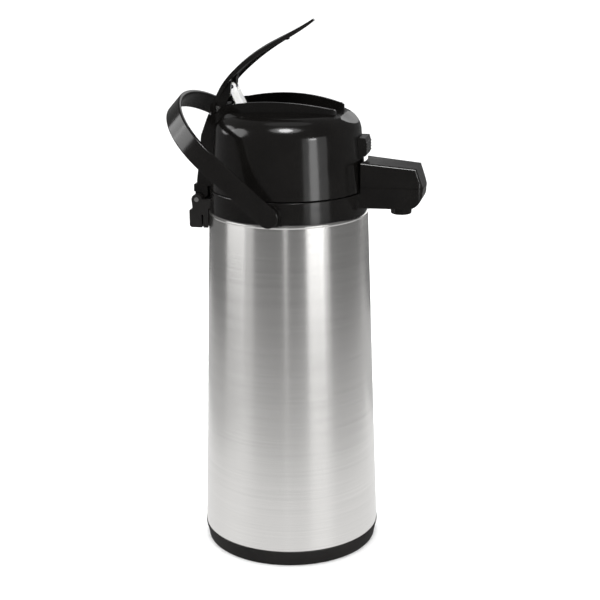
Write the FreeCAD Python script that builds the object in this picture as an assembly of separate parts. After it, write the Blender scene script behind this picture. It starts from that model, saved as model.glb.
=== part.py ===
import FreeCAD, Part
import math
import os

# Thermal coffee airpot with a pump lever in the lid. Millimetres, +Z up, +X towards the spout.
# Origin: centre of the underside of the base. Rest pose: lid shut, lever raised, bail leaning back.

# ---------------------------------------------------------------- vessel
BASE_FOOT_R = 73.5          # base ring at the table
BASE_R = 76.0               # base ring at its top, the widest radius
BASE_H = 14.0
PLATE_T = 3.0               # base plate
SHELL_FOOT_R = 75.6         # steel shell where it meets the base ring
SHELL_TOP_R = 66.5
SHELL_TOP_Z = 294.4
SHELL_T = 0.8
RIM_R = 1.2                 # rolled rim at the top of the shell
COLLAR_FOOT_R = 66.0
COLLAR_TOP_R = 65.4
COLLAR_TOP_Z = 312.5
DECK_Z = 311.0              # top face of the collar's deck
DECK_T = 2.0
MOUTH_R = 38.0              # filling mouth in the collar
FLASK_R = 64.0              # outer wall of the vacuum flask
FLASK_GAP = 3.0             # vacuum gap
FLASK_T = 0.9
FLASK_Z0 = 13.2
FLASK_SHOULDER_Z = 242.0
NECK_R = 33.0               # inside radius of the flask's neck
NECK_Z = 289.0              # top of the flask's rim

# ---------------------------------------------------------------- spout
SPOUT_TIP_HALF = 15.5       # half width at the front
SPOUT_CORNER = 5.0          # rounding of the front's two upright corners
SPOUT_START = (40.0, 340.1)  # where the spout's sloping top line starts, inside the dome
SPOUT_START_HALF = 18.9     # half width there
SPOUT_FRONT_TOP = (109.2, 333.8)
SPOUT_FRONT = (114.8, 317.4)
SPOUT_BOTTOM_Z = 300.4
SPOUT_SPLIT_Z = 317.4
SPOUT_ROUND = 2.0           # rounding of its upper edges
SPOUT_GROOVE = 0.35         # shadow gap between the spout's two halves
SPOUT_WALL = 2.0
NOZZLE_X = 95.2
NOZZLE_R = 8.8
NOZZLE_Z = 293.8
TUBE_R = 3.5
TUBE_BORE = 2.4
TUBE_Z = 305.2
STEM_X = 24.0               # dip tube axis

# ---------------------------------------------------------------- lid
SEAM = 0.4                  # gap between collar and dome
DOME_FOOT_R = 64.9
DOME_EDGE = 0.8             # rounding of the dome's lower rim
SHOULDER_R = 17.4           # rounding between the dome's side and its top
SHOULDER_AT = (43.6, 359.6)
CROWN_Z = 378.0
DOME_WALL = 2.5
POST_AT = 58.2              # screw posts inside the dome, distance from the axis
POST_R = 4.5
CEILING_Z = 372.0
FLOOR_Z = 374.8             # floor of the lever's recess
WALL_BOW_R = 130.0          # plan radius of the two curved walls
WALL_MID = (-6.0, 29.0)     # widest point of the walls, outside face
WALL_T = 2.6
SCOOP_AT = (58.2, 368.5)    # lowest point of the flat cut into the dome's front shoulder
SCOOP_TILT = 30.0
LID_BASE_Z = 313.2
LID_BASE_T = 2.6
DUCT_FOOT_Z = 309.0         # the air duct reaches down through the collar's deck
HINGE = (-75.3, 301.9)      # lid hinge axis, x and z
HINGE_R = 2.0
BARREL_R = 4.5
ARM_HALF = 12.0             # half width of the lid's hinge arm
BELLOWS_X = -4.0
BELLOWS_R = 35.0

# ---------------------------------------------------------------- lever, link, plunger
LEVER_AXIS = (-56.0, 378.0)
LEVER_RAISED = 43.0         # degrees from closed to raised
HUB_R = 7.0
HUB_HALF = 12.0
LEVER_PIN_R = 2.5
LEVER_PIN_HALF = 14.4       # the pin ends blind inside the two ears
LEVER_REACH = 106.4
LEVER_BOW_R = 83.4          # plan radius of the lever's two edges
LEVER_HALF = 24.5
CROWN_R = 170.0             # crown of the lever across its width
LINK_TOP = (-46.0, 395.5)
LINK_FOOT = (-32.35, 367.0)
LINK_PIN_R = 1.7
LINK_HALF = 5.2             # half width of the forked link
TONGUE_HALF = 2.3           # half width of the lever's tongue inside the fork
YOKE_HALF = 8.4             # half width over the plunger yoke's ears
SLOT_SLIDE = 1.2            # how far the open lower pin may shift in the yoke
PUSH_PLATE_Z = 357.6

# ---------------------------------------------------------------- latch, handle
LATCH_Z = 348.0             # height of the latch spring
LATCH_TOP_Z = 357.0
LATCH_FOOT_Z = 339.9
LATCH_FACE_X = 68.4
LATCH_HALF = 10.6
HANDLE_Z = 302.5
HANDLE_LEAN = 49.0          # degrees behind upright at rest
HANDLE_REACH = 122.0        # pivot to the middle of the grip
HANDLE_STRAIGHT = 64.0      # straight part of each arm
HANDLE_Y = 74.2             # middle of the arm's thickness
HANDLE_T = 3.6
HANDLE_W = 17.2
HANDLE_PIN_R = 3.5
BOSS_R = 9.4
FIT = 0.05                  # radial clearance of running fits
CLEAR = 0.35                # gap between faces of different bodies


def vec(x, y, z):
    return FreeCAD.Vector(x, y, z)


def outline(start, *steps):
    """Closed face in the XZ plane. A step is an end point, or (middle, end) for an arc."""
    edges = []
    here = start
    for step in steps + (start,):
        if isinstance(step[0], tuple):
            middle, there = step
            through = [vec(x, 0, z) for x, z in (here, middle, there)]
            edges.append(Part.Arc(*through).toShape())
        else:
            there = step
            if math.dist(here, there) > 1e-6:
                edges.append(Part.makeLine(vec(here[0], 0, here[1]), vec(there[0], 0, there[1])))
        here = there
    return Part.Face(Part.Wire(edges))


def turned(start, *steps):
    """Solid of revolution about Z from an outline of (radius, height)."""
    return outline(start, *steps).revolve(vec(0, 0, 0), vec(0, 0, 1), 360)


def slab(y0, y1, start, *steps):
    """Outline in XZ drawn out from y0 to y1."""
    face = outline(start, *steps)
    face.translate(vec(0, y0, 0))
    return face.extrude(vec(0, y1 - y0, 0))


def box(x0, x1, y0, y1, z0, z1):
    return Part.makeBox(x1 - x0, y1 - y0, z1 - z0, vec(x0, y0, z0))


def rod(start, end, radius):
    a, b = vec(*start), vec(*end)
    return Part.makeCylinder(radius, (b - a).Length, a, b - a)


def upright(x, y, z0, z1, radius):
    return rod((x, y, z0), (x, y, z1), radius)


def across(x, z, half, radius):
    """Cylinder along Y, centred on Y = 0."""
    return rod((x, -half, z), (x, half, z), radius)


def ring(z0, z1, inner, outer):
    return upright(0, 0, z0, z1, outer).cut(upright(0, 0, z0, z1, inner))


def fuse(shapes):
    whole = shapes[0].multiFuse(shapes[1:]) if len(shapes) > 1 else shapes[0]
    return whole.removeSplitter()


def group(shapes):
    return Part.makeCompound(shapes)


def on_circle(radius, count, first_deg):
    for n in range(count):
        angle = math.radians(first_deg + 360.0 * n / count)
        yield radius * math.cos(angle), radius * math.sin(angle)


def coil(radius, wire_r, height, turns):
    """Compression spring along Z from the origin, its wire swept along four arcs to each turn."""
    pitch = height / turns

    def on_helix(quarter):
        angle = math.radians(90.0 * quarter)
        return vec(radius * math.cos(angle), radius * math.sin(angle), pitch * quarter / 4)
    arcs = [Part.Arc(on_helix(n), on_helix(n + 0.5), on_helix(n + 1)).toShape() for n in range(4 * turns)]
    start = vec(0, 2 * math.pi * radius, pitch)
    section = Part.Wire(Part.makeCircle(wire_r, on_helix(0), start))
    return Part.Wire(arcs).makePipeShell([section], True, False)


def save(name, shape):
    shape.exportStep("parts/" + name + ".step")


# ---------------------------------------------------------------- base
def shell_r(z):
    """Outside radius of the tapered steel shell."""
    return SHELL_FOOT_R + (SHELL_TOP_R - SHELL_FOOT_R) * (z - BASE_H) / (SHELL_TOP_Z - BASE_H)


def base_parts():
    spigot_r = SHELL_FOOT_R - SHELL_T - 0.2
    screw_r, head_r, screw_at = 1.6, 3.2, 60.0
    pad_r, pad_t, pad_at = 6.0, 1.2, 50.0
    base_ring = turned(
        (67.0, 0.0), (BASE_FOOT_R - 1.2, 0.0), ((BASE_FOOT_R - 0.3, 0.35), (BASE_FOOT_R, 1.2)),
        (BASE_R, BASE_H - 1.0), ((BASE_R - 0.25, BASE_H - 0.25), (BASE_R - 0.8, BASE_H)),
        (spigot_r, BASE_H), (spigot_r - 0.6, BASE_H + 7.0), (spigot_r - 2.8, BASE_H + 7.0),
        (spigot_r - 2.8, 6.0), (55.0, 6.0), (55.0, PLATE_T), (67.0, PLATE_T))
    base_plate = upright(0, 0, 0, PLATE_T, 66.8)
    screws, pads = [], []
    for x, y in on_circle(screw_at, 4, 45):
        base_plate = base_plate.cut(upright(x, y, 0, 2.0, head_r + 0.2))
        base_plate = base_plate.cut(upright(x, y, 0, PLATE_T, screw_r))
        base_ring = base_ring.cut(upright(x, y, PLATE_T, 6.0, screw_r))
        screws.append(fuse([upright(x, y, 0.4, 2.0, head_r), upright(x, y, 2.0, 9.0, screw_r)]))
    for x, y in on_circle(pad_at, 4, 0):
        base_plate = base_plate.cut(upright(x, y, 0, pad_t, pad_r))
        pads.append(upright(x, y, 0, pad_t, pad_r))
    save("base_ring", base_ring)
    save("base_plate", base_plate)
    save("base_screws", group(screws))
    save("foot_pads", group(pads))


def outer_shell():
    rim_z = SHELL_TOP_Z - RIM_R
    lip_r = 62.4
    save("outer_shell", turned(
        (SHELL_FOOT_R, BASE_H), (shell_r(rim_z - 1.6), rim_z - 1.6),
        ((SHELL_TOP_R + 0.5, rim_z), (SHELL_TOP_R - 0.4, SHELL_TOP_Z)), (lip_r, SHELL_TOP_Z),
        (lip_r, SHELL_TOP_Z - SHELL_T), (SHELL_TOP_R - 1.6, SHELL_TOP_Z - SHELL_T),
        (shell_r(rim_z - 1.6) - SHELL_T, rim_z - 1.6), (SHELL_FOOT_R - SHELL_T, BASE_H)))


def flask_wall(radius, floor_z, neck_r, rim_z):
    """One wall of the flask: dished floor, straight side, round shoulder, short neck."""
    def side(r, z0, neck):
        bend = 12.0
        mid = math.sqrt(0.5)
        shoulder = radius - neck_r - 4.0
        top = FLASK_SHOULDER_Z + shoulder
        return [
            (r - bend, z0), ((r - bend + bend * mid, z0 + bend - bend * mid), (r, z0 + bend)),
            (r, FLASK_SHOULDER_Z),
            ((r - shoulder * (1 - mid), FLASK_SHOULDER_Z + shoulder * mid), (r - shoulder, top)),
            (neck, top + 4.0), (neck, rim_z)]
    outer = turned((0, rim_z), (0, floor_z), *side(radius, floor_z, neck_r))
    inner = turned((0, rim_z), (0, floor_z + FLASK_T),
                   *side(radius - FLASK_T, floor_z + FLASK_T, neck_r - FLASK_T))
    return outer.cut(inner)


def flask_parts():
    inner_r = FLASK_R - FLASK_T - FLASK_GAP
    save("flask_outer_wall", flask_wall(FLASK_R, FLASK_Z0, NECK_R + FLASK_T + 2.0, NECK_Z - 1.0))
    lip = ring(NECK_Z - 1.0, NECK_Z, NECK_R, NECK_R + FLASK_T + 2.0)
    inner = flask_wall(inner_r, FLASK_Z0 + FLASK_T + FLASK_GAP, NECK_R + FLASK_T, NECK_Z)
    save("flask_inner_wall", fuse([inner, lip]))
    save("flask_cushion", ring(PLATE_T, FLASK_Z0, 30.0, 46.0))
    save("neck_gasket", ring(NECK_Z, NECK_Z + 1.5, NECK_R, NECK_R + 4.0))


# ---------------------------------------------------------------- collar, handle pins, hinge
def collar():
    wall = 3.0
    neck_z = NECK_Z + 1.5
    body = turned(
        (NECK_R, neck_z), (NECK_R, neck_z + 4.5), (MOUTH_R, neck_z + 9.5), (MOUTH_R, DECK_Z),
        (COLLAR_TOP_R - wall, DECK_Z), (COLLAR_TOP_R - wall, COLLAR_TOP_Z),
        (COLLAR_TOP_R - 0.6, COLLAR_TOP_Z),
        ((COLLAR_TOP_R - 0.15, COLLAR_TOP_Z - 0.15), (COLLAR_TOP_R, COLLAR_TOP_Z - 0.6)),
        (COLLAR_FOOT_R, SHELL_TOP_Z), (COLLAR_FOOT_R - wall, SHELL_TOP_Z),
        (COLLAR_FOOT_R - wall, DECK_Z - DECK_T), (MOUTH_R + 2.6, DECK_Z - DECK_T),
        (MOUTH_R + 2.6, neck_z + 8.5), (NECK_R + 4.0, neck_z + 2.8), (NECK_R + 4.0, neck_z))
    inside = upright(0, 0, SHELL_TOP_Z, COLLAR_TOP_Z, COLLAR_FOOT_R - wall)
    boss_face = HANDLE_Y - HANDLE_T / 2 - CLEAR
    pins = []
    for side in (-1, 1):
        boss = rod((0, side * 60.0, HANDLE_Z), (0, side * boss_face, HANDLE_Z), BOSS_R)
        boss = boss.common(upright(0, 0, SHELL_TOP_Z, COLLAR_TOP_Z, 90.0)).cut(inside)
        body = body.fuse(boss)
        pin_y = HANDLE_Y + HANDLE_T / 2 - 1.0
        pin = rod((0, side * 58.0, HANDLE_Z), (0, side * pin_y, HANDLE_Z), HANDLE_PIN_R)
        body = body.cut(pin)
        pins.append(pin)
    body = body.cut(rod((30, 0, TUBE_Z), (70, 0, TUBE_Z), TUBE_R))
    save("collar", body.removeSplitter())
    save("handle_pins", group(pins))


def hinge_parts():
    x, z = HINGE
    ear_gap, ear_out = ARM_HALF + CLEAR, 17.0
    block = slab(-ear_out, ear_out, (-81.9, 292.4), (-81.0, 293.3), (-60.0, 293.3), (-60.0, 278.0),
                 (-79.5, 278.0), ((-81.2, 278.7), (-81.9, 280.4)))
    shell_gap = 0.3
    keep_out = turned((0, 250.0), (shell_r(250.0) + shell_gap, 250.0),
                      (SHELL_TOP_R + 0.6 + shell_gap, SHELL_TOP_Z), (COLLAR_FOOT_R, SHELL_TOP_Z),
                      (COLLAR_TOP_R, COLLAR_TOP_Z), (0, COLLAR_TOP_Z))
    ears = []
    for y0, y1 in ((-ear_out, -ear_gap), (ear_gap, ear_out)):
        ears.append(slab(y0, y1, (x - 3.6, 293.0), (x - BARREL_R, z),
                         ((x, z + BARREL_R), (x + BARREL_R, z)), (-66.5, z), (-60.0, z - 1.0),
                         (-60.0, 293.0)))
    groove = slab(-ear_out, ear_out, (-71.4, 289.0), (-69.9, 289.0), (-69.9, 276.0), (-71.4, 276.0))
    bracket = fuse([block] + ears).cut(keep_out).cut(groove)
    bracket = bracket.cut(across(x, z, 20.0, HINGE_R))
    screw_z, back_x, seat_x, tip_x = 287.0, -83.0, -79.6, -72.0
    screws = []
    for side in (-1, 1):
        y = side * 14.6
        shank = rod((seat_x, y, screw_z), (tip_x, y, screw_z), 1.2)
        screws.append(fuse([rod((back_x + 1.4, y, screw_z), (seat_x, y, screw_z), 2.2), shank]))
        bracket = bracket.cut(rod((back_x, y, screw_z), (seat_x, y, screw_z), 2.2)).cut(shank)
    save("hinge_bracket", bracket)
    save("hinge_screws", group(screws))
    save("hinge_pin", across(x, z, ear_out + 0.4, HINGE_R))


# ---------------------------------------------------------------- spout and stem
def spout_block(inset):
    """Whole spout, drawn inset by a wall thickness for its hollow."""
    sx, sz = SPOUT_START
    fx, fz = SPOUT_FRONT_TOP
    nx, nz = SPOUT_FRONT
    low = SPOUT_BOTTOM_Z + inset
    side = slab(-30, 30, (sx, sz - inset), (fx - inset, fz - inset), (nx - inset, nz),
                (nx - inset - 0.6, nz - 4.0), ((nx - 3.4 - inset, low + 4.6), (nx - 11.0 - inset, low)),
                (sx, low))
    root_half, tip_half = SPOUT_START_HALF - inset, SPOUT_TIP_HALF - inset
    corner = SPOUT_CORNER
    plan = Part.Wire([
        Part.makeLine(vec(sx, -root_half, 0), vec(nx - corner, -tip_half, 0)),
        Part.Arc(vec(nx - corner, -tip_half, 0), vec(nx - 1.4 - inset, -tip_half + 1.8, 0),
                 vec(nx - inset, -tip_half + corner, 0)).toShape(),
        Part.makeLine(vec(nx - inset, -tip_half + corner, 0), vec(nx - inset, tip_half - corner, 0)),
        Part.Arc(vec(nx - inset, tip_half - corner, 0), vec(nx - 1.4 - inset, tip_half - 1.8, 0),
                 vec(nx - corner, tip_half, 0)).toShape(),
        Part.makeLine(vec(nx - corner, tip_half, 0), vec(sx, root_half, 0)),
        Part.makeLine(vec(sx, root_half, 0), vec(sx, -root_half, 0))])
    prism = Part.Face(plan).extrude(vec(0, 0, 80))
    prism.translate(vec(0, 0, 280))
    return side.common(prism).Solids[0]


def cover_block():
    """Upper half of the spout, its long upper edges and the sides of its sloping front rounded."""
    foot_z = SPOUT_SPLIT_Z + SPOUT_GROOVE
    block = spout_block(0.0).common(box(0, 140, -30, 30, foot_z, 360)).Solids[0]
    edges = []
    for edge in block.Edges:
        highest = max(corner.Point.z for corner in edge.Vertexes)
        beside = abs(edge.CenterOfMass.y) > SPOUT_TIP_HALF / 2
        upright_corner = edge.BoundBox.XLength < 0.1
        if highest > foot_z + 1.0 and beside and not upright_corner:
            edges.append(edge)
    return block.makeFillet(SPOUT_ROUND, edges)


def spout_parts():
    dome_gap = turned((0, 290.0), (COLLAR_FOOT_R, 290.0), (COLLAR_FOOT_R, SHELL_TOP_Z),
                      (COLLAR_TOP_R, COLLAR_TOP_Z), (DOME_FOOT_R + 1.6, COLLAR_TOP_Z),
                      (DOME_FOOT_R + 1.6, 350.0), (0, 350.0))
    whole = spout_block(0.0).cut(dome_gap)
    hollow = spout_block(SPOUT_WALL)
    hollow = hollow.cut(upright(0, 0, 280.0, 360.0, DOME_FOOT_R + 4.0))
    lower = whole.cut(hollow).common(box(0, 140, -30, 30, 280, SPOUT_SPLIT_Z))
    upper = cover_block().cut(dome_gap).cut(hollow)
    seat_z = SPOUT_BOTTOM_Z
    bend = TUBE_Z - seat_z
    nozzle = turned((TUBE_R, NOZZLE_Z + 1.2), (TUBE_R + 2.4, NOZZLE_Z + 1.2), (TUBE_R + 2.8, NOZZLE_Z),
                    (NOZZLE_R - 1.2, NOZZLE_Z),
                    ((NOZZLE_R - 0.4, NOZZLE_Z + 0.5), (NOZZLE_R - 0.2, NOZZLE_Z + 1.2)),
                    (NOZZLE_R, seat_z), (TUBE_R, seat_z))
    nozzle.translate(vec(NOZZLE_X, 0, 0))
    post_at = (103.4, 9.4)
    screws = []
    for side in (-1, 1):
        post = upright(post_at[0], side * post_at[1], SPOUT_SPLIT_Z, 340.0, 3.2).common(whole)
        foot = upright(post_at[0], side * post_at[1], 300.0, SPOUT_SPLIT_Z, 3.2).common(whole)
        hole = upright(post_at[0], side * post_at[1], 299.0, SPOUT_SPLIT_Z + 8.0, 1.3)
        head = upright(post_at[0], side * post_at[1], 299.0, 305.0, 2.5)
        lower = lower.fuse(foot).cut(hole).cut(head)
        upper = upper.fuse(post).cut(hole)
        screws.append(fuse([upright(post_at[0], side * post_at[1], 303.4, 305.0, 2.3),
                            upright(post_at[0], side * post_at[1], 305.0, SPOUT_SPLIT_Z + 8.0, 1.3)]))
    lower = lower.cut(upright(NOZZLE_X, 0, 295.0, 304.0, 6.0))
    lower = lower.cut(rod((60, 0, TUBE_Z), (NOZZLE_X, 0, TUBE_Z), TUBE_R))
    path = Part.Wire([
        Part.makeLine(vec(STEM_X + 6.0, 0, TUBE_Z), vec(NOZZLE_X - bend, 0, TUBE_Z)),
        Part.Arc(vec(NOZZLE_X - bend, 0, TUBE_Z),
                 vec(NOZZLE_X - bend * (1 - math.sqrt(0.5)), 0, TUBE_Z - bend * (1 - math.sqrt(0.5))),
                 vec(NOZZLE_X, 0, TUBE_Z - bend)).toShape(),
        Part.makeLine(vec(NOZZLE_X, 0, TUBE_Z - bend), vec(NOZZLE_X, 0, NOZZLE_Z + 2.5))])
    start, along = vec(STEM_X + 6.0, 0, TUBE_Z), vec(1, 0, 0)
    skin = path.makePipeShell([Part.Wire(Part.makeCircle(TUBE_R, start, along))], True, False)
    bore = path.makePipeShell([Part.Wire(Part.makeCircle(TUBE_BORE, start, along))], True, False)
    save("spout_housing", lower.removeSplitter())
    save("spout_cover", upper.removeSplitter())
    save("spout_screws", group(screws))
    save("spout_tube", skin.cut(bore))
    save("nozzle", nozzle)


def stem_parts():
    """Dip tube and the elbow that joins it to the spout tube."""
    tube_r, tube_bore = 4.0, 3.0
    head = fuse([upright(STEM_X, 0, 296.0, 309.6, 7.0),
                 rod((STEM_X, 0, TUBE_Z), (MOUTH_R - 1.4, 0, TUBE_Z), 4.9)])
    head = head.cut(upright(STEM_X, 0, 290.0, TUBE_Z + TUBE_BORE, tube_bore))
    head = head.cut(upright(STEM_X, 0, 290.0, 301.0, tube_r))
    head = head.cut(rod((STEM_X, 0, TUBE_Z), (STEM_X + 6.0, 0, TUBE_Z), TUBE_BORE))
    head = head.cut(rod((STEM_X + 6.0, 0, TUBE_Z), (MOUTH_R, 0, TUBE_Z), TUBE_R))
    seal = rod((MOUTH_R - 1.4, 0, TUBE_Z), (MOUTH_R - 0.1, 0, TUBE_Z), 5.4)
    seal = seal.cut(rod((MOUTH_R - 2.0, 0, TUBE_Z), (MOUTH_R, 0, TUBE_Z), TUBE_R))
    seal = seal.common(upright(0, 0, 290, 312, MOUTH_R))
    foot_z = FLASK_Z0 + 10.0
    dip = upright(STEM_X, 0, foot_z, 301.0, tube_r).cut(upright(STEM_X, 0, foot_z, 301.0, tube_bore))
    for turn in (0, 90):
        notch = box(-tube_r - 1, tube_r + 1, -1.2, 1.2, foot_z, foot_z + 3.0)
        notch.rotate(vec(0, 0, 0), vec(0, 0, 1), turn)
        notch.translate(vec(STEM_X, 0, 0))
        dip = dip.cut(notch)
    save("stem_elbow", head)
    save("stem_seal", seal)
    save("dip_tube", dip)


# ---------------------------------------------------------------- lid
def wall_y(x, inset):
    """Half width of the pair of curved walls at x."""
    mid_x, mid_y = WALL_MID
    reach = WALL_BOW_R - inset
    return math.sqrt(reach ** 2 - (x - mid_x) ** 2) - (WALL_BOW_R - mid_y)


def lens(inset, x0, x1, z0, z1):
    """Upright prism bounded by the walls' two bowed faces."""
    mid_x = WALL_MID[0]
    near0, near1, near_mid = wall_y(x0, inset), wall_y(x1, inset), wall_y(mid_x, inset)
    wire = Part.Wire([
        Part.Arc(vec(x0, -near0, z0), vec(mid_x, -near_mid, z0), vec(x1, -near1, z0)).toShape(),
        Part.makeLine(vec(x1, -near1, z0), vec(x1, near1, z0)),
        Part.Arc(vec(x1, near1, z0), vec(mid_x, near_mid, z0), vec(x0, near0, z0)).toShape(),
        Part.makeLine(vec(x0, near0, z0), vec(x0, -near0, z0))])
    return Part.Face(wire).extrude(vec(0, 0, z1 - z0))


def dome_skin(shrink, floor_z, edge=0.0):
    """Solid bounded by the dome's skin, moved in by shrink. edge rounds the rim at its foot."""
    cx, cz = SHOULDER_AT
    r = SHOULDER_R
    mid = math.sqrt(0.5)
    if shrink == 0:
        rim = [(DOME_FOOT_R - edge, floor_z)]
        if edge:
            cut = edge * (1 - mid)
            lean = (DOME_FOOT_R - cx - r) / (cz - floor_z)
            rim.append(((DOME_FOOT_R - cut, floor_z + cut), (DOME_FOOT_R - edge * lean, floor_z + edge)))
        return turned((0, floor_z), *rim, (cx + r, cz), ((cx + r * mid, cz + r * mid), (cx, cz + r)),
                      ((cx / 2, CROWN_Z - 0.3), (0, CROWN_Z)))
    r = SHOULDER_R - shrink
    cz = CEILING_Z - r
    return turned((0, floor_z), (DOME_FOOT_R - shrink, floor_z), (cx + r, cz),
                  ((cx + r * mid, cz + r * mid), (cx, cz + r)), (0, CEILING_Z))


def lid_dome():
    foot_z = COLLAR_TOP_Z + SEAM
    px, pz = LEVER_AXIS
    x0, x1 = -56.5, 45.0
    band = lens(0, x0, x1, 355.0, 400.0).cut(lens(WALL_T, x0 - 5, x1 + 5, 350.0, 405.0))
    arch = slab(-60, 60, (x0, 350.0), (x0, 374.0), ((-51.0, 380.4), (-39.5, 384.0)),
                ((-6.0, 387.0), (40.0, 381.2)), ((44.0, 379.4), (x1, 376.0)), (x1, 350.0))
    walls = band.common(arch)
    ears = []
    for y0, y1 in ((-HUB_HALF - 3.6, -HUB_HALF - CLEAR), (HUB_HALF + CLEAR, HUB_HALF + 3.6)):
        ears.append(slab(y0, y1, (px - 5.2, 355.0), (px - 5.2, pz), ((px, pz + 5.2), (px + 5.2, pz)),
                         (px + 8.0, 355.0)))
    body = dome_skin(0, foot_z, DOME_EDGE).multiFuse([walls] + ears)
    body = body.cut(lens(WALL_T, x0 - 3.0, x1, FLOOR_Z, 400.0))
    body = body.cut(box(x1 - 1, 62, -30.0, 30.0, FLOOR_Z, 400.0))
    body = body.cut(across(px, pz, HUB_HALF + CLEAR, HUB_R + 0.7))
    body = body.cut(box(px - 12, px, -HUB_HALF - CLEAR, HUB_HALF + CLEAR, pz - 2.0, 400.0))

    scoop_at = vec(SCOOP_AT[0], 0, SCOOP_AT[1])
    tilt = math.radians(SCOOP_TILT)
    normal, downhill = vec(math.sin(tilt), 0, math.cos(tilt)), vec(math.cos(tilt), 0, -math.sin(tilt))
    body = body.cut(Part.makeCylinder(60.0, 30.0, scoop_at + downhill * 45.0, normal))

    hollow = dome_skin(DOME_WALL, foot_z)
    backing = Part.makeCylinder(60.0, 30.0, scoop_at + downhill * 45.0 - normal * DOME_WALL, normal)
    hub_backing = across(px, pz, HUB_HALF + 4.0, HUB_R + 3.2)
    hollow = hollow.cut(backing).cut(hub_backing)
    body = body.cut(hollow)

    posts = [upright(x, y, LID_BASE_Z + LID_BASE_T, 335.0, POST_R) for x, y in on_circle(POST_AT, 4, 45)]
    holes = [upright(x, y, LID_BASE_Z, 330.0, 1.5) for x, y in on_circle(POST_AT, 4, 45)]
    body = body.multiFuse([p.common(dome_skin(0, foot_z, DOME_EDGE)) for p in posts])
    for hole in holes:
        body = body.cut(hole)
    slot_half = LINK_HALF + 1.0
    body = body.cut(box(LINK_TOP[0] - 0.5, LINK_FOOT[0] + 5.5, -slot_half, slot_half, 365.0, 380.0))
    body = body.cut(across(px, pz, LEVER_PIN_HALF, LEVER_PIN_R))
    window_half = LATCH_HALF + CLEAR
    body = body.cut(box(50, 75, -window_half, window_half, LATCH_FOOT_Z - CLEAR, LATCH_TOP_Z + CLEAR))
    save("lid_dome", body.removeSplitter())
    screws = []
    for x, y in on_circle(POST_AT, 4, 45):
        screws.append(fuse([upright(x, y, LID_BASE_Z + 0.4, LID_BASE_Z + 1.4, 2.8),
                            upright(x, y, LID_BASE_Z + 1.4, 329.0, 1.5)]))
    save("lid_screws", group(screws))
    save("lever_pin", across(px, pz, LEVER_PIN_HALF, LEVER_PIN_R))


def lid_hinge_arm():
    x, z = HINGE
    foot_z = COLLAR_TOP_Z + SEAM
    arm = slab(-ARM_HALF, ARM_HALF, (-64.4, 373.6), (-66.6, 368.3), (-71.3, 355.7), (-74.7, 326.1),
               (-75.9, 317.5), (-75.9, 314.2), (-78.7, 313.8), (-78.7, 307.8), (-77.6, 307.8),
               (-77.6, z + 3.8), (x - BARREL_R, z), ((x, z - BARREL_R), (x + BARREL_R, z)),
               (-66.9, z + 3.0), (-66.9, foot_z), (-50.0, foot_z), (-50.0, 366.0))
    arm = arm.cut(dome_skin(0, foot_z)).cut(across(LEVER_AXIS[0], LEVER_AXIS[1], 20.0, HUB_R + 0.7))
    arm = arm.cut(across(x, z, 20.0, HINGE_R + FIT))
    solids = sorted(arm.Solids, key=lambda s: s.Volume)
    save("lid_hinge_arm", solids[-1])


def lid_base_parts():
    top = LID_BASE_Z + LID_BASE_T
    plate = upright(0, 0, LID_BASE_Z, top, 61.8)
    seat = upright(BELLOWS_X, 0, top, top + 3.0, BELLOWS_R + 3.0)
    seat = seat.cut(upright(BELLOWS_X, 0, top, top + 3.0, BELLOWS_R + 0.8))
    duct = upright(BELLOWS_X, 0, DUCT_FOOT_Z, LID_BASE_Z, 12.0)
    duct = duct.cut(upright(BELLOWS_X, 0, DUCT_FOOT_Z, LID_BASE_Z, 10.0))
    post = box(43.5, 46.5, -5, 5, top, 356.0)
    base = fuse([plate, seat, duct, post])
    for x, y in on_circle(7.0, 6, 0):
        base = base.cut(upright(BELLOWS_X + x, y, LID_BASE_Z, top, 1.6))
    base = base.cut(upright(BELLOWS_X, 0, LID_BASE_Z, top, 1.6))
    for x, y in on_circle(POST_AT, 4, 45):
        base = base.cut(upright(x, y, LID_BASE_Z, LID_BASE_Z + 1.4, 3.0))
        base = base.cut(upright(x, y, LID_BASE_Z, top, 1.5))
    base = base.cut(box(47.4, 70.0, -8.5, 8.5, LID_BASE_Z, top))
    base = base.cut(ring(LID_BASE_Z, LID_BASE_Z + 0.8, 40.4, 45.4))
    save("lid_base", base.removeSplitter())
    save("lid_gasket", ring(DECK_Z + 0.3, LID_BASE_Z + 0.8, 40.4, 45.4))
    flap = fuse([upright(BELLOWS_X, 0, LID_BASE_Z - 1.2, LID_BASE_Z, 9.4),
                 upright(BELLOWS_X, 0, LID_BASE_Z, top, 1.6), upright(BELLOWS_X, 0, top, top + 1.4, 2.6)])
    save("valve_flap", flap)


def bellows_parts():
    foot = LID_BASE_Z + LID_BASE_T
    height = PUSH_PLATE_Z - foot
    folds = 5
    pitch = height / folds
    wall, deep = 1.3, 7.5
    out_pts, in_pts = [], []
    for n in range(folds):
        z = foot + n * pitch
        out_pts += [(BELLOWS_R - deep, z), (BELLOWS_R, z + pitch / 2)]
        in_pts += [(BELLOWS_R - deep - wall, z), (BELLOWS_R - wall, z + pitch / 2)]
    out_pts.append((BELLOWS_R - deep, PUSH_PLATE_Z))
    in_pts.append((BELLOWS_R - deep - wall, PUSH_PLATE_Z))
    bellows = turned(out_pts[0], *(out_pts[1:] + in_pts[::-1]))
    bellows.translate(vec(BELLOWS_X, 0, 0))
    save("bellows", bellows)
    wire_r = 0.9
    spring = coil(14.0, wire_r, height - 2 * wire_r - 0.4, 5)
    spring.translate(vec(BELLOWS_X, 0, foot + wire_r + 0.2))
    save("return_spring", spring)


# ---------------------------------------------------------------- lever, link, plunger
def raise_lever(shape):
    """Turns a shape drawn with the lever closed to the raised rest pose."""
    moved = shape.copy()
    moved.rotate(vec(LEVER_AXIS[0], 0, LEVER_AXIS[1]), vec(0, 1, 0), -LEVER_RAISED)
    return moved


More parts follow.
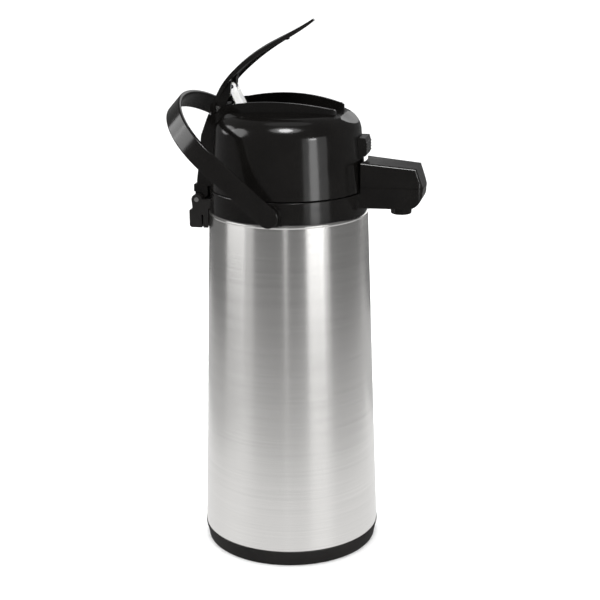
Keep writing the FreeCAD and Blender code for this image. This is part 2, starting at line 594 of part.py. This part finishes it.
def lever_crest(reach):
    """Height of the closed lever's crest above its pivot, at a distance in front of it."""
    points = [(-8.0, 5.5), (2.0, 8.2), (20.0, 13.0), (40.0, 14.4), (60.0, 12.3), (84.0, 5.9), (107.0, 0.4)]
    curve = Part.BSplineCurve()
    curve.interpolate([vec(x, 0, z) for x, z in points])
    line = Part.makeLine(vec(reach, 0, -50), vec(reach, 0, 50))
    hit = curve.toShape().distToShape(line)[1][0][0]
    return hit.z


def lever_section(reach):
    """Crowned section with a rim down each edge."""
    half = math.sqrt(LEVER_BOW_R ** 2 - (reach - 50.0) ** 2) - (LEVER_BOW_R - LEVER_HALF)
    thin = 1.0 - 0.45 * max(0.0, (reach - 60.0) / (LEVER_REACH - 60.0))
    skin, rim, lip = 2.4 * thin, 3.4 * thin, min(2.0, half * 0.6)
    x = LEVER_AXIS[0] + reach
    top = LEVER_AXIS[1] + lever_crest(reach)
    edge = top - half ** 2 / (2 * CROWN_R)
    inner = half - lip
    inner_edge = top - inner ** 2 / (2 * CROWN_R) - skin
    low = min(edge - rim, inner_edge - 0.3)
    a, b, c, d = vec(x, -half, edge), vec(x, half, edge), vec(x, half, low), vec(x, inner, low)
    e, f, g = vec(x, inner, inner_edge), vec(x, -inner, inner_edge), vec(x, -inner, low)
    h = vec(x, -half, low)
    return Part.Wire([
        Part.Arc(a, vec(x, 0, top), b).toShape(), Part.makeLine(b, c), Part.makeLine(c, d),
        Part.makeLine(d, e), Part.Arc(e, vec(x, 0, top - skin), f).toShape(), Part.makeLine(f, g),
        Part.makeLine(g, h), Part.makeLine(h, a)])


def lever_parts():
    px, pz = LEVER_AXIS
    stations = [4.0, 12.0, 24.0, 38.0, 52.0, 66.0, 80.0, 91.0, 100.0, LEVER_REACH]
    blade = Part.makeLoft([lever_section(s) for s in stations], True, False)
    hub = across(px, pz, HUB_HALF, HUB_R)
    cheeks = []
    for y0, y1 in ((-HUB_HALF, -HUB_HALF + 3.0), (HUB_HALF - 3.0, HUB_HALF)):
        cheeks.append(slab(y0, y1, (px, pz + HUB_R), (px + 12, pz + 8.6), (px + 26, pz + 10.6),
                           (px + 15, pz + 1.0), (px, pz - 4.0)))
    shell = blade.multiFuse([hub] + cheeks)
    shell = shell.cut(across(px, pz, 20.0, LEVER_PIN_R + FIT))
    save("lever_shell", raise_lever(shell.removeSplitter()))

    catch = slab(-2.5, 2.5, (px + 77.5, pz + 7.6), (px + 81.5, pz + 6.0), (px + 81.5, pz + 3.0),
                 ((px + 81.0, pz + 2.1), (px + 80.2, pz + 1.9)), (px + 79.0, pz + 2.8),
                 (px + 78.4, pz + 4.4))
    catch = catch.cut(blade)
    save("lever_catch", raise_lever(sorted(catch.Solids, key=lambda s: s.Volume)[-1]))

    ux, uz = LINK_TOP
    knuckle = across(ux, uz, TONGUE_HALF, 3.4)
    tongue = slab(-TONGUE_HALF, TONGUE_HALF, (ux - 3.0, uz - 1.6), (ux - 7.0, uz + 6.0),
                  (ux + 0.5, uz + 12.0), (ux + 3.4, uz + 8.0), (ux + 3.2, uz + 1.2))
    tongue = fuse([knuckle, tongue]).cut(raise_lever(blade)).cut(across(ux, uz, 20.0, LINK_PIN_R))
    save("lever_lug", sorted(tongue.Solids, key=lambda s: s.BoundBox.ZMin)[0])
    save("link_upper_pin", across(ux, uz, LINK_HALF, LINK_PIN_R))


def link_parts():
    ux, uz = LINK_TOP
    lx, lz = LINK_FOOT
    length = math.dist(LINK_TOP, LINK_FOOT)
    nx, nz = (lz - uz) / length, -(lx - ux) / length     # unit normal, to the left of the link
    half = 2.9

    def along(t, off):
        return (ux + (lx - ux) * t + nx * off, uz + (lz - uz) * t + nz * off)
    bar = slab(-LINK_HALF, LINK_HALF, along(0, half), along(1, half), along(1, -half), along(0, -half))
    link = fuse([bar, across(ux, uz, LINK_HALF, 3.3), across(lx, lz, LINK_HALF, 3.0)])
    link = link.cut(across(ux, uz, 9.0, LINK_PIN_R + FIT)).cut(across(lx, lz, 9.0, LINK_PIN_R))
    fork_half = TONGUE_HALF + CLEAR
    link = link.cut(slab(-fork_half, fork_half, along(-0.3, 9.0), along(0.15, 9.0), along(0.15, -9.0),
                         along(-0.3, -9.0)))
    struts = []
    for y0, y1 in ((-4.9, -3.0), (3.0, 4.9)):
        strut = slab(y0, y1, along(0.10, half), along(0.02, half + 3.4), along(0.12, half + 4.2),
                     along(0.74, half + 0.6), along(0.78, half))
        strut = strut.cut(slab(y0, y1, along(0.24, half), along(0.22, half + 2.0), along(0.6, half)))
        strut = strut.cut(link)
        struts.append(sorted(strut.Solids, key=lambda s: s.Volume)[-1])
    save("pump_link", link)
    save("link_strut", group(struts))
    save("link_lower_pin", across(lx, lz, YOKE_HALF, LINK_PIN_R))


def plunger_parts():
    lx, lz = LINK_FOOT
    plate = upright(BELLOWS_X, 0, PUSH_PLATE_Z, PUSH_PLATE_Z + 2.4, 33.0)
    top = PUSH_PLATE_Z + 2.4
    rib = ring(top, top + 1.6, 26.0, 28.0)
    rib.translate(vec(BELLOWS_X, 0, 0))
    rib = rib.cut(box(lx - 7, lx + 8, -9, 9, top, top + 3))
    plate = fuse([plate, rib])
    ears = []
    for y0, y1 in ((-YOKE_HALF, -LINK_HALF - CLEAR), (LINK_HALF + CLEAR, YOKE_HALF)):
        ears.append(slab(y0, y1, (lx - 6.4, top), (lx - 5.2, lz + 2.0),
                         ((lx, lz + 3.9), (lx + 5.2, lz + 2.0)), (lx + 6.4, top)))
    slot_half = LINK_PIN_R + 0.5
    slot = fuse([across(lx - SLOT_SLIDE, lz, 9.0, slot_half), across(lx + SLOT_SLIDE, lz, 9.0, slot_half),
                 box(lx - SLOT_SLIDE, lx + SLOT_SLIDE, -9, 9, lz - slot_half, lz + slot_half)])
    foot = box(lx - 6.4, lx + 6.4, -YOKE_HALF, YOKE_HALF, top, top + 1.2)
    yoke = fuse([foot] + ears).cut(slot)
    save("push_plate", plate)
    save("plunger_yoke", yoke)


# ---------------------------------------------------------------- latch
def latch_parts():
    arm_x, face_x, top_z = 53.5, LATCH_FACE_X, LATCH_TOP_Z
    body = slab(-LATCH_HALF, LATCH_HALF, (arm_x, LATCH_FOOT_Z), (64.2, LATCH_FOOT_Z), (64.6, 341.6),
                (67.0, 342.2), (face_x - 0.8, 343.6), (face_x - 0.8, top_z - 3.6), (face_x - 1.8, top_z),
                (arm_x, top_z))
    rib_pitch = 2.4
    ribs = []
    for n in range(4):
        z = 344.9 + n * rib_pitch
        ribs.append(rod((face_x - 1.4, -LATCH_HALF, z), (face_x - 1.4, LATCH_HALF, z), 1.25))
    hollow = box(arm_x, 60.0, -LATCH_HALF + 1.6, LATCH_HALF - 1.6, 343.0, LATCH_Z - 3.0)
    save("latch_button", fuse([body] + ribs).cut(hollow))

    arm = box(51.0, arm_x, -6.0, 6.0, LID_BASE_Z, 355.0)
    nose = slab(-6.0, 6.0, (arm_x, LID_BASE_Z), (55.6, LID_BASE_Z), (56.7, LID_BASE_Z + 1.2),
                (55.4, LID_BASE_Z + 2.4), (arm_x, LID_BASE_Z + 2.4))
    save("latch_hook", fuse([arm, nose]))
    wire_r = 0.4
    spring = coil(2.6, wire_r, 3.4, 3)
    spring.rotate(vec(0, 0, 0), vec(0, 1, 0), 90)
    spring.translate(vec(46.5 + wire_r + 0.1, 0, LATCH_Z))
    save("latch_spring", spring)
    post = box(58.4, 60.4, -6.5, 6.5, DECK_Z, 318.6)
    lip = slab(-6.5, 6.5, (58.4, 318.6), (57.6, 318.6), (57.2, 317.4), (57.2, 316.6), (58.4, 316.2))
    save("latch_catch", fuse([post, lip]))


# ---------------------------------------------------------------- bail handle
def bail_face(off):
    """Area under the bail's edge in the YZ plane: two straight arms and a half ellipse, moved out by off."""
    wide, deep = HANDLE_Y + off, HANDLE_REACH - HANDLE_STRAIGHT + off
    arch = Part.Ellipse(vec(0, 0, 0), wide, deep)
    half = Part.ArcOfEllipse(arch, 0, math.pi).toShape()
    half.rotate(vec(0, 0, 0), vec(1, 1, 1), 120)
    half.translate(vec(0, 0, HANDLE_STRAIGHT))
    top_left, top_right = vec(0, -wide, HANDLE_STRAIGHT), vec(0, wide, HANDLE_STRAIGHT)
    low_left, low_right = vec(0, -wide, 0), vec(0, wide, 0)
    lines = [Part.makeLine(top_left, low_left), Part.makeLine(low_left, low_right),
             Part.makeLine(low_right, top_right)]
    return Part.Face(Part.Wire([half] + lines))


def bail_handle():
    plate = bail_face(HANDLE_T / 2).cut(bail_face(-HANDLE_T / 2))
    half_w = HANDLE_W / 2
    strip = plate.extrude(vec(HANDLE_W, 0, 0))
    strip.translate(vec(-half_w, 0, 0))
    ends = []
    for side in (-1, 1):
        y0, y1 = side * (HANDLE_Y - HANDLE_T / 2), side * (HANDLE_Y + HANDLE_T / 2)
        ends.append(rod((0, y0, 0), (0, y1, 0), half_w))
    strip = fuse([strip] + ends)
    long_edges = [e for e in strip.Edges if e.Length > 60]
    strip = strip.makeFillet(1.2, long_edges)
    for side in (-1, 1):
        blind_y = HANDLE_Y + HANDLE_T / 2 - 0.9
        strip = strip.cut(rod((0, side * 70.0, 0), (0, side * blind_y, 0), HANDLE_PIN_R + FIT))
    strip.rotate(vec(0, 0, 0), vec(0, 1, 0), -HANDLE_LEAN)
    strip.translate(vec(0, 0, HANDLE_Z))
    save("bail_handle", strip)


os.makedirs("parts", exist_ok=True)
base_parts()
outer_shell()
flask_parts()
collar()
hinge_parts()
spout_parts()
stem_parts()
lid_dome()
lid_hinge_arm()
lid_base_parts()
bellows_parts()
lever_parts()
link_parts()
plunger_parts()
latch_parts()
bail_handle()
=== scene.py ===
import math

import bpy
from mathutils import Matrix, Vector


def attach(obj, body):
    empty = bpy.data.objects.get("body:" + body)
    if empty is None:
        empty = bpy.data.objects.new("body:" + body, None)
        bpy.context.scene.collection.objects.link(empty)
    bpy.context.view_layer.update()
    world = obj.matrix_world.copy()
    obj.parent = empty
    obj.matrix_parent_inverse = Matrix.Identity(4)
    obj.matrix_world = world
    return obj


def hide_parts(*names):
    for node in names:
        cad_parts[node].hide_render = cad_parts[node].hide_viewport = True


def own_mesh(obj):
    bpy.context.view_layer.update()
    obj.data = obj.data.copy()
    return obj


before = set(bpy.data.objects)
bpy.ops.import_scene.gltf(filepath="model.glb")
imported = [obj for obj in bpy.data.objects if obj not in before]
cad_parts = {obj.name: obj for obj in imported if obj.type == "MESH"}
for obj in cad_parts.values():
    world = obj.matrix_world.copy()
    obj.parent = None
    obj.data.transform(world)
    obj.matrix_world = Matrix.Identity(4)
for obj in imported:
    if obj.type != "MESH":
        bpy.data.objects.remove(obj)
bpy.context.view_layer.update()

# Looks for a thermal coffee airpot, in metres: +X towards the spout, +Z up, origin under the base.

CAMERA_HEADING = 12.563      # degrees the view is turned from +Y towards -X
CAMERA_PITCH = 16.595        # degrees below the horizon
CAMERA_ROLL = -0.456         # degrees
CAMERA_LENS = 85.0           # millimetres, on a sensor SENSOR_WIDTH wide
SENSOR_WIDTH = 36.0
CAMERA_AT = Vector((0.26135, -1.13201, 0.55959))

BLACK = (0.0050, 0.0046, 0.0043)
STEEL = (0.74, 0.73, 0.715)

LID_Z = 0.36                 # height that the lid's lights are aimed at
LID_LIGHT_AWAY = 2.4         # from there to each of those lights
FLOOR_REACH = 9.0            # half the floor's width
WALL_RADIUS = 8.8            # round backdrop
WALL_HEIGHT = 7.0
WALL_SIDES = 64


# ---------------------------------------------------------------- node helpers
class Look:
    """A material with one Principled shader and short ways to wire textures into it."""

    def __init__(self, name):
        self.material = bpy.data.materials.new(name)
        self.material.use_nodes = True
        self.tree = self.material.node_tree
        self.shader = self.tree.nodes["Principled BSDF"]
        self.place = self.tree.nodes.new("ShaderNodeTexCoord").outputs["Object"]

    def node(self, kind, **settings):
        made = self.tree.nodes.new(kind)
        for key, value in settings.items():
            setattr(made, key, value)
        return made

    def link(self, output, target):
        self.tree.links.new(output, target)

    def set(self, **values):
        """Fixed values on the shader's own sockets; an underscore stands for a space."""
        for key, value in values.items():
            self.shader.inputs[key.replace("_", " ")].default_value = value

    def noise(self, scale, detail=2.0, roughness=0.5):
        """Noise value over the object. scale is cells per metre along X, Y and Z."""
        mapping = self.node("ShaderNodeMapping")
        mapping.inputs["Scale"].default_value = scale
        self.link(self.place, mapping.inputs["Vector"])
        texture = self.node("ShaderNodeTexNoise")
        texture.inputs["Scale"].default_value = 1.0
        texture.inputs["Detail"].default_value = detail
        texture.inputs["Roughness"].default_value = roughness
        self.link(mapping.outputs["Vector"], texture.inputs["Vector"])
        return texture.outputs["Fac"]

    def spread(self, value, low, high, start=0.35, end=0.65):
        """Maps a noise value to a number between low and high."""
        ranged = self.node("ShaderNodeMapRange")
        ranged.inputs["From Min"].default_value = start
        ranged.inputs["From Max"].default_value = end
        ranged.inputs["To Min"].default_value = low
        ranged.inputs["To Max"].default_value = high
        self.link(value, ranged.inputs["Value"])
        return ranged.outputs["Result"]

    def tint(self, value, dark, light, start=0.3, end=0.7):
        """Maps a noise value to a colour between dark and light."""
        ramp = self.node("ShaderNodeValToRGB")
        ramp.color_ramp.elements[0].position = start
        ramp.color_ramp.elements[1].position = end
        ramp.color_ramp.elements[0].color = (*dark, 1.0)
        ramp.color_ramp.elements[1].color = (*light, 1.0)
        self.link(value, ramp.inputs["Fac"])
        return ramp.outputs["Color"]

    def bump(self, value, depth, strength=1.0):
        """Raises the surface by up to depth metres where value is 1."""
        bump = self.node("ShaderNodeBump")
        bump.inputs["Strength"].default_value = strength
        bump.inputs["Distance"].default_value = depth
        self.link(value, bump.inputs["Height"])
        self.link(bump.outputs["Normal"], self.shader.inputs["Normal"])

    def colour(self, output):
        self.link(output, self.shader.inputs["Base Color"])

    def rough(self, output):
        self.link(output, self.shader.inputs["Roughness"])


def scaled(colour, factor):
    return tuple(min(1.0, c * factor) for c in colour)


# ---------------------------------------------------------------- materials
def brushed_shell():
    """Stainless sheet brushed round the can: fine rings, highlights drawn out up and down."""
    look = Look("shell_steel_brushed")
    fine = look.noise((9.0, 9.0, 2600.0), 3.0, 0.6)
    broad = look.noise((5.0, 5.0, 240.0), 2.0)
    look.colour(look.tint(fine, scaled(STEEL, 0.95), scaled(STEEL, 1.04)))
    look.rough(look.spread(broad, 0.235, 0.265))
    look.bump(fine, 0.000003)
    look.set(Metallic=1.0, Anisotropic=0.75, Anisotropic_Rotation=0.25)
    tangent = look.node("ShaderNodeTangent", direction_type="RADIAL", axis="Z")
    look.link(tangent.outputs["Tangent"], look.shader.inputs["Tangent"])
    return look.material


def plain_steel():
    """Turned and plated small steel."""
    look = Look("plain_steel_turned")
    grain = look.noise((900.0, 900.0, 900.0), 2.0)
    look.colour(look.tint(grain, scaled(STEEL, 0.92), scaled(STEEL, 1.05)))
    look.rough(look.spread(grain, 0.16, 0.28))
    look.bump(look.noise((1500.0, 1500.0, 1500.0)), 0.000008)
    look.set(Metallic=1.0)
    return look.material


def black_gloss(name, roughness, wave, specular):
    """Polished moulded black plastic with the slight unevenness of a mould and faint handling haze."""
    look = Look(name)
    haze = look.noise((38.0, 38.0, 38.0), 4.0, 0.6)
    look.colour(look.tint(haze, scaled(BLACK, 0.85), scaled(BLACK, 1.25)))
    look.rough(look.spread(haze, roughness * 0.85, roughness * 1.25))
    look.bump(look.noise((42.0, 42.0, 42.0), 2.0), wave)
    look.set(Specular_IOR_Level=specular, IOR=1.5)
    return look.material


def satin_black():
    """Base and hinge plastic with a fine moulded texture."""
    look = Look("satin_black_moulded")
    grain = look.noise((1400.0, 1400.0, 1400.0), 2.0, 0.6)
    patch = look.noise((30.0, 30.0, 30.0), 3.0)
    look.colour(look.tint(patch, scaled(BLACK, 2.0), scaled(BLACK, 3.0)))
    look.rough(look.spread(grain, 0.36, 0.46))
    look.bump(grain, 0.00002, 0.5)
    look.set(Specular_IOR_Level=0.45)
    return look.material


def moulded(name, colour, roughness, soft=0.0):
    """Plain coloured plastic or rubber with a fine grain; soft lets light into milky ones."""
    look = Look(name)
    grain = look.noise((1100.0, 1100.0, 1100.0), 2.0, 0.6)
    patch = look.noise((45.0, 45.0, 45.0), 3.0)
    look.colour(look.tint(patch, scaled(colour, 0.9), scaled(colour, 1.04)))
    look.rough(look.spread(grain, roughness * 0.85, roughness * 1.15))
    look.bump(grain, 0.000015, 0.6)
    if soft:
        look.set(Subsurface_Weight=soft, Subsurface_Scale=0.002, Subsurface_Radius=(1.0, 1.0, 0.9))
    return look.material


def floor_look(name):
    """Pale matt surface with a trace of unevenness."""
    look = Look(name)
    patch = look.noise((3.0, 3.0, 3.0), 3.0)
    look.colour(look.tint(patch, (0.90, 0.90, 0.90), (0.93, 0.93, 0.93)))
    look.rough(look.spread(patch, 0.75, 0.9))
    look.set(Specular_IOR_Level=0.1)
    return look


def dress(material, *names):
    """Gives CAD nodes a material in every slot."""
    for name in names:
        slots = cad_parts[name].material_slots
        for slot in slots:
            slot.material = material


def dress_all():
    """One material for each kind of stuff, and the nodes that are made of it."""
    gloss = black_gloss("gloss_black_dome", 0.13, 0.00016, 0.34)
    trim = black_gloss("gloss_black_trim", 0.16, 0.00004, 0.36)
    dress(brushed_shell(), "outer_shell")
    dress(gloss, "lid_dome", "collar", "lid_hinge_arm", "spout_cover", "spout_housing", "nozzle")
    dress(trim, "lever_shell", "lever_catch", "lever_lug", "link_strut", "latch_button", "bail_handle")
    dress(satin_black(), "base_ring", "base_plate", "hinge_bracket")
    dress(plain_steel(), "base_screws", "flask_outer_wall", "flask_inner_wall", "handle_pins",
          "hinge_screws", "hinge_pin", "spout_screws", "lid_screws", "return_spring", "lever_pin",
          "latch_spring", "link_upper_pin", "link_lower_pin")
    dress(moulded("white_nylon_link", (0.92, 0.92, 0.91), 0.38, 0.35), "pump_link")
    dress(moulded("grey_polypropylene", (0.40, 0.41, 0.42), 0.45), "lid_base", "latch_hook",
          "latch_catch", "push_plate", "plunger_yoke", "stem_elbow")
    dress(moulded("milky_tube", (0.74, 0.75, 0.74), 0.35, 0.3), "dip_tube")
    dress(moulded("silicone_seal", (0.72, 0.72, 0.70), 0.5, 0.3), "neck_gasket", "lid_gasket",
          "valve_flap", "stem_seal", "spout_tube")
    dress(moulded("bellows_rubber", (0.45, 0.45, 0.44), 0.55), "bellows")
    dress(moulded("rubber_dark", (0.07, 0.07, 0.07), 0.7), "foot_pads", "flask_cushion")


# ---------------------------------------------------------------- springs and bellows
def make_squeezed(name, node):
    """Copy of a bellows or spring that rides with the lid; the rigid CAD node is hidden in its place."""
    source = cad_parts[node]
    piece = bpy.data.objects.new(name, source.data.copy())
    piece.matrix_world = source.matrix_world
    bpy.context.scene.collection.objects.link(piece)
    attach(piece, "lid")
    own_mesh(piece)
    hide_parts(node)
    return piece


def make_all_squeezed():
    """The bellows and return spring under the push plate, and the spring behind the latch button."""
    return [
        make_squeezed("bellows_folding", "bellows"),
        make_squeezed("return_spring_coil", "return_spring"),
        make_squeezed("latch_spring_coil", "latch_spring")]


# ---------------------------------------------------------------- stage, light, camera
def view_axes():
    """Right, up and forward directions of the camera."""
    heading, pitch, roll = (math.radians(a) for a in (CAMERA_HEADING, CAMERA_PITCH, CAMERA_ROLL))
    ahead = Vector((-math.sin(heading), math.cos(heading), 0.0))
    forward = ahead * math.cos(pitch) - Vector((0.0, 0.0, math.sin(pitch)))
    level = Vector((math.cos(heading), math.sin(heading), 0.0))
    up = level.cross(forward)
    right = level * math.cos(roll) + up * math.sin(roll)
    return right, right.cross(forward), forward


def make_camera():
    """Camera at the photo's place, angle and lens."""
    right, up, forward = view_axes()
    data = bpy.data.cameras.new("camera")
    data.lens = CAMERA_LENS
    data.sensor_width = SENSOR_WIDTH
    camera = bpy.data.objects.new("camera", data)
    turn = Matrix((right, up, -forward)).transposed()
    camera.matrix_world = Matrix.Translation(CAMERA_AT) @ turn.to_4x4()
    bpy.context.scene.collection.objects.link(camera)
    bpy.context.scene.camera = camera


def make_floor():
    """Wide pale floor. It takes no part in reflections, so the gloss shows the light panels alone."""
    mesh = bpy.data.meshes.new("floor")
    corners = [(x * FLOOR_REACH, y * FLOOR_REACH, 0.0) for x, y in ((-1, -1), (1, -1), (1, 1), (-1, 1))]
    mesh.from_pydata(corners, [], [(0, 1, 2, 3)])
    floor = bpy.data.objects.new("floor", mesh)
    floor.visible_glossy = False
    bpy.context.scene.collection.objects.link(floor)
    mesh.materials.append(floor_look("floor_pale").material)
    return floor


def make_backdrop():
    """Pale round wall far off on every side, glowing a little: a plain ground for the low views.

    It is seen by the camera alone, and neither lights the object nor shows in its gloss."""
    mesh = bpy.data.meshes.new("backdrop")
    angles = [2 * math.pi * n / WALL_SIDES for n in range(WALL_SIDES)]
    rim = [(WALL_RADIUS * math.cos(a), WALL_RADIUS * math.sin(a)) for a in angles]
    points = [(x, y, z) for z in (0.0, WALL_HEIGHT) for x, y in rim]
    faces = []
    for n in range(WALL_SIDES):
        after = (n + 1) % WALL_SIDES
        faces.append((n, after, WALL_SIDES + after, WALL_SIDES + n))
    mesh.from_pydata(points, [], faces)
    wall = bpy.data.objects.new("backdrop", mesh)
    wall.visible_glossy = False
    wall.visible_diffuse = False
    wall.visible_shadow = False
    look = floor_look("backdrop_pale")
    look.set(Emission_Color=(1.0, 1.0, 1.0, 1.0), Emission_Strength=0.85)
    mesh.materials.append(look.material)
    bpy.context.scene.collection.objects.link(wall)


def panel(name, centre, aim, width, height, radiance, only=None, oval=False):
    """Flat light facing along aim, lighting the objects in only, or everything when that is None.

    radiance is its brightness as seen in a mirror. An oval one is 4/pi as bright, being smaller."""
    data = bpy.data.lights.new(name, "AREA")
    data.shape = "ELLIPSE" if oval else "RECTANGLE"
    data.size = width
    data.size_y = height
    data.energy = radiance * math.pi * width * height
    lamp = bpy.data.objects.new(name, data)
    lamp.matrix_world = Matrix.Translation(centre) @ aim.to_track_quat("-Z", "Y").to_matrix().to_4x4()
    lamp.visible_camera = False
    lamp.light_linking.receiver_collection = only
    bpy.context.scene.collection.objects.link(lamp)


def toward(turn, elevation=0.0):
    """Direction from the object. turn is degrees to the right of the camera, elevation degrees up."""
    angle, lift = math.radians(turn + CAMERA_HEADING - 90.0), math.radians(elevation)
    return Vector((math.cos(angle) * math.cos(lift), math.sin(angle) * math.cos(lift), math.sin(lift)))


def softbox(name, turn, distance, z_low, z_high, width, radiance, only=None):
    """Upright light panel beside the object."""
    away = toward(turn)
    centre = away * distance + Vector((0.0, 0.0, (z_low + z_high) / 2))
    panel(name, centre, -away, width, z_high - z_low, radiance, only)


def lid_light(name, turn, elevation, width, height, radiance, only):
    """Oval panel facing the lid, LID_LIGHT_AWAY from it."""
    away = toward(turn, elevation)
    centre = Vector((0.0, 0.0, LID_Z)) + away * LID_LIGHT_AWAY
    panel(name, centre, -away, width, height, radiance, only, True)


def lit_group(name, pieces):
    """Collection of the objects that some lights are meant for alone."""
    group = bpy.data.collections.new(name)
    for piece in pieces:
        group.objects.link(piece)
    return group


def light_scene(floor, springs):
    """Soft even world, and panels that each light one group: steel, other pieces, link or floor."""
    world = bpy.data.worlds.new("studio")
    world.use_nodes = True
    world.node_tree.nodes["Background"].inputs["Color"].default_value = (1.0, 1.0, 1.0, 1.0)
    world.node_tree.nodes["Background"].inputs["Strength"].default_value = 0.17
    bpy.context.scene.world = world
    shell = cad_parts["outer_shell"]
    steel = lit_group("lit_steel", [shell])
    others = [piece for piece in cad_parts.values() if piece is not shell]
    plastic = lit_group("lit_plastic", others + springs)
    pale = lit_group("lit_link", [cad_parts["pump_link"]])
    ground = lit_group("lit_floor", [floor])
    up, down = Vector((0.0, 0.0, 1.0)), Vector((0.0, 0.0, -1.0))

    # Each softbox: turn, distance, lower and upper edge, width, radiance. These are the bands on
    # the shell, and the two low panels stand in for the floor that it would mirror.
    softbox("steel_right", 36.5, 1.6, 0.0, 0.62, 0.68, 2.8, steel)
    softbox("steel_right_flank", 51.0, 1.6, 0.0, 0.62, 0.34, 1.4, steel)
    softbox("steel_line", -4.5, 1.6, 0.0, 0.5, 0.10, 1.7, steel)
    softbox("steel_left", -80.0, 1.5, 0.0, 0.9, 0.85, 1.5, steel)
    softbox("steel_left_flank", -58.0, 1.5, 0.0, 0.9, 0.45, 0.7, steel)
    softbox("steel_back_left", -160.0, 2.4, 0.0, 1.0, 1.4, 1.3, steel)
    softbox("steel_back_right", 148.0, 2.4, 0.0, 1.0, 2.3, 1.2, steel)
    panel("steel_floor_wide", Vector((0.0, 0.0, 0.002)), up, 1.4, 1.4, 0.42, steel)
    panel("steel_floor_near", Vector((0.0, 0.0, 0.003)), up, 0.62, 0.62, 0.32, steel)

    # Upright reflection down the dome, then, for each lid light: turn, elevation, width, height,
    # radiance. They make the highlights on the grip, the scoop and the dome's shoulder.
    softbox("plastic_right", 41.0, 1.6, 0.02, 0.74, 1.10, 1.3, plastic)
    softbox("plastic_right_core", 38.0, 1.5, 0.05, 0.66, 0.34, 4.6, plastic)
    softbox("plastic_right_top", 38.0, 1.4, 0.42, 0.62, 0.26, 10.0, plastic)
    lid_light("plastic_left", -86.0, 20.0, 1.3, 1.5, 3.4, plastic)
    lid_light("plastic_grip", -112.0, 16.0, 1.2, 1.2, 2.6, plastic)
    lid_light("plastic_scoop", 158.0, 19.0, 0.80, 0.60, 0.85, plastic)
    lid_light("plastic_back", 177.0, 20.0, 0.60, 0.60, 0.7, plastic)
    lid_light("plastic_front", -5.0, 58.0, 0.70, 0.75, 22.0, plastic)
    lid_light("plastic_front_wide", -5.0, 58.0, 1.6, 1.2, 3.0, plastic)
    lid_light("plastic_above", 180.0, 82.0, 1.6, 1.2, 0.35, plastic)
    lid_light("link_key", 20.0, 30.0, 1.0, 1.0, 19.0, pale)

    # The floor's own light leaves a soft shadow at the foot and reaches to the horizon.
    panel("floor_near", Vector((-0.05, 0.10, 1.20)), down, 1.0, 1.0, 4.4, ground)
    panel("floor_wide", Vector((0.0, 0.0, 4.5)), down, 30.0, 30.0, 1.20, ground)


bpy.context.scene.view_settings.view_transform = "Standard"
make_camera()
dress_all()
light_scene(make_floor(), make_all_squeezed())
make_backdrop()
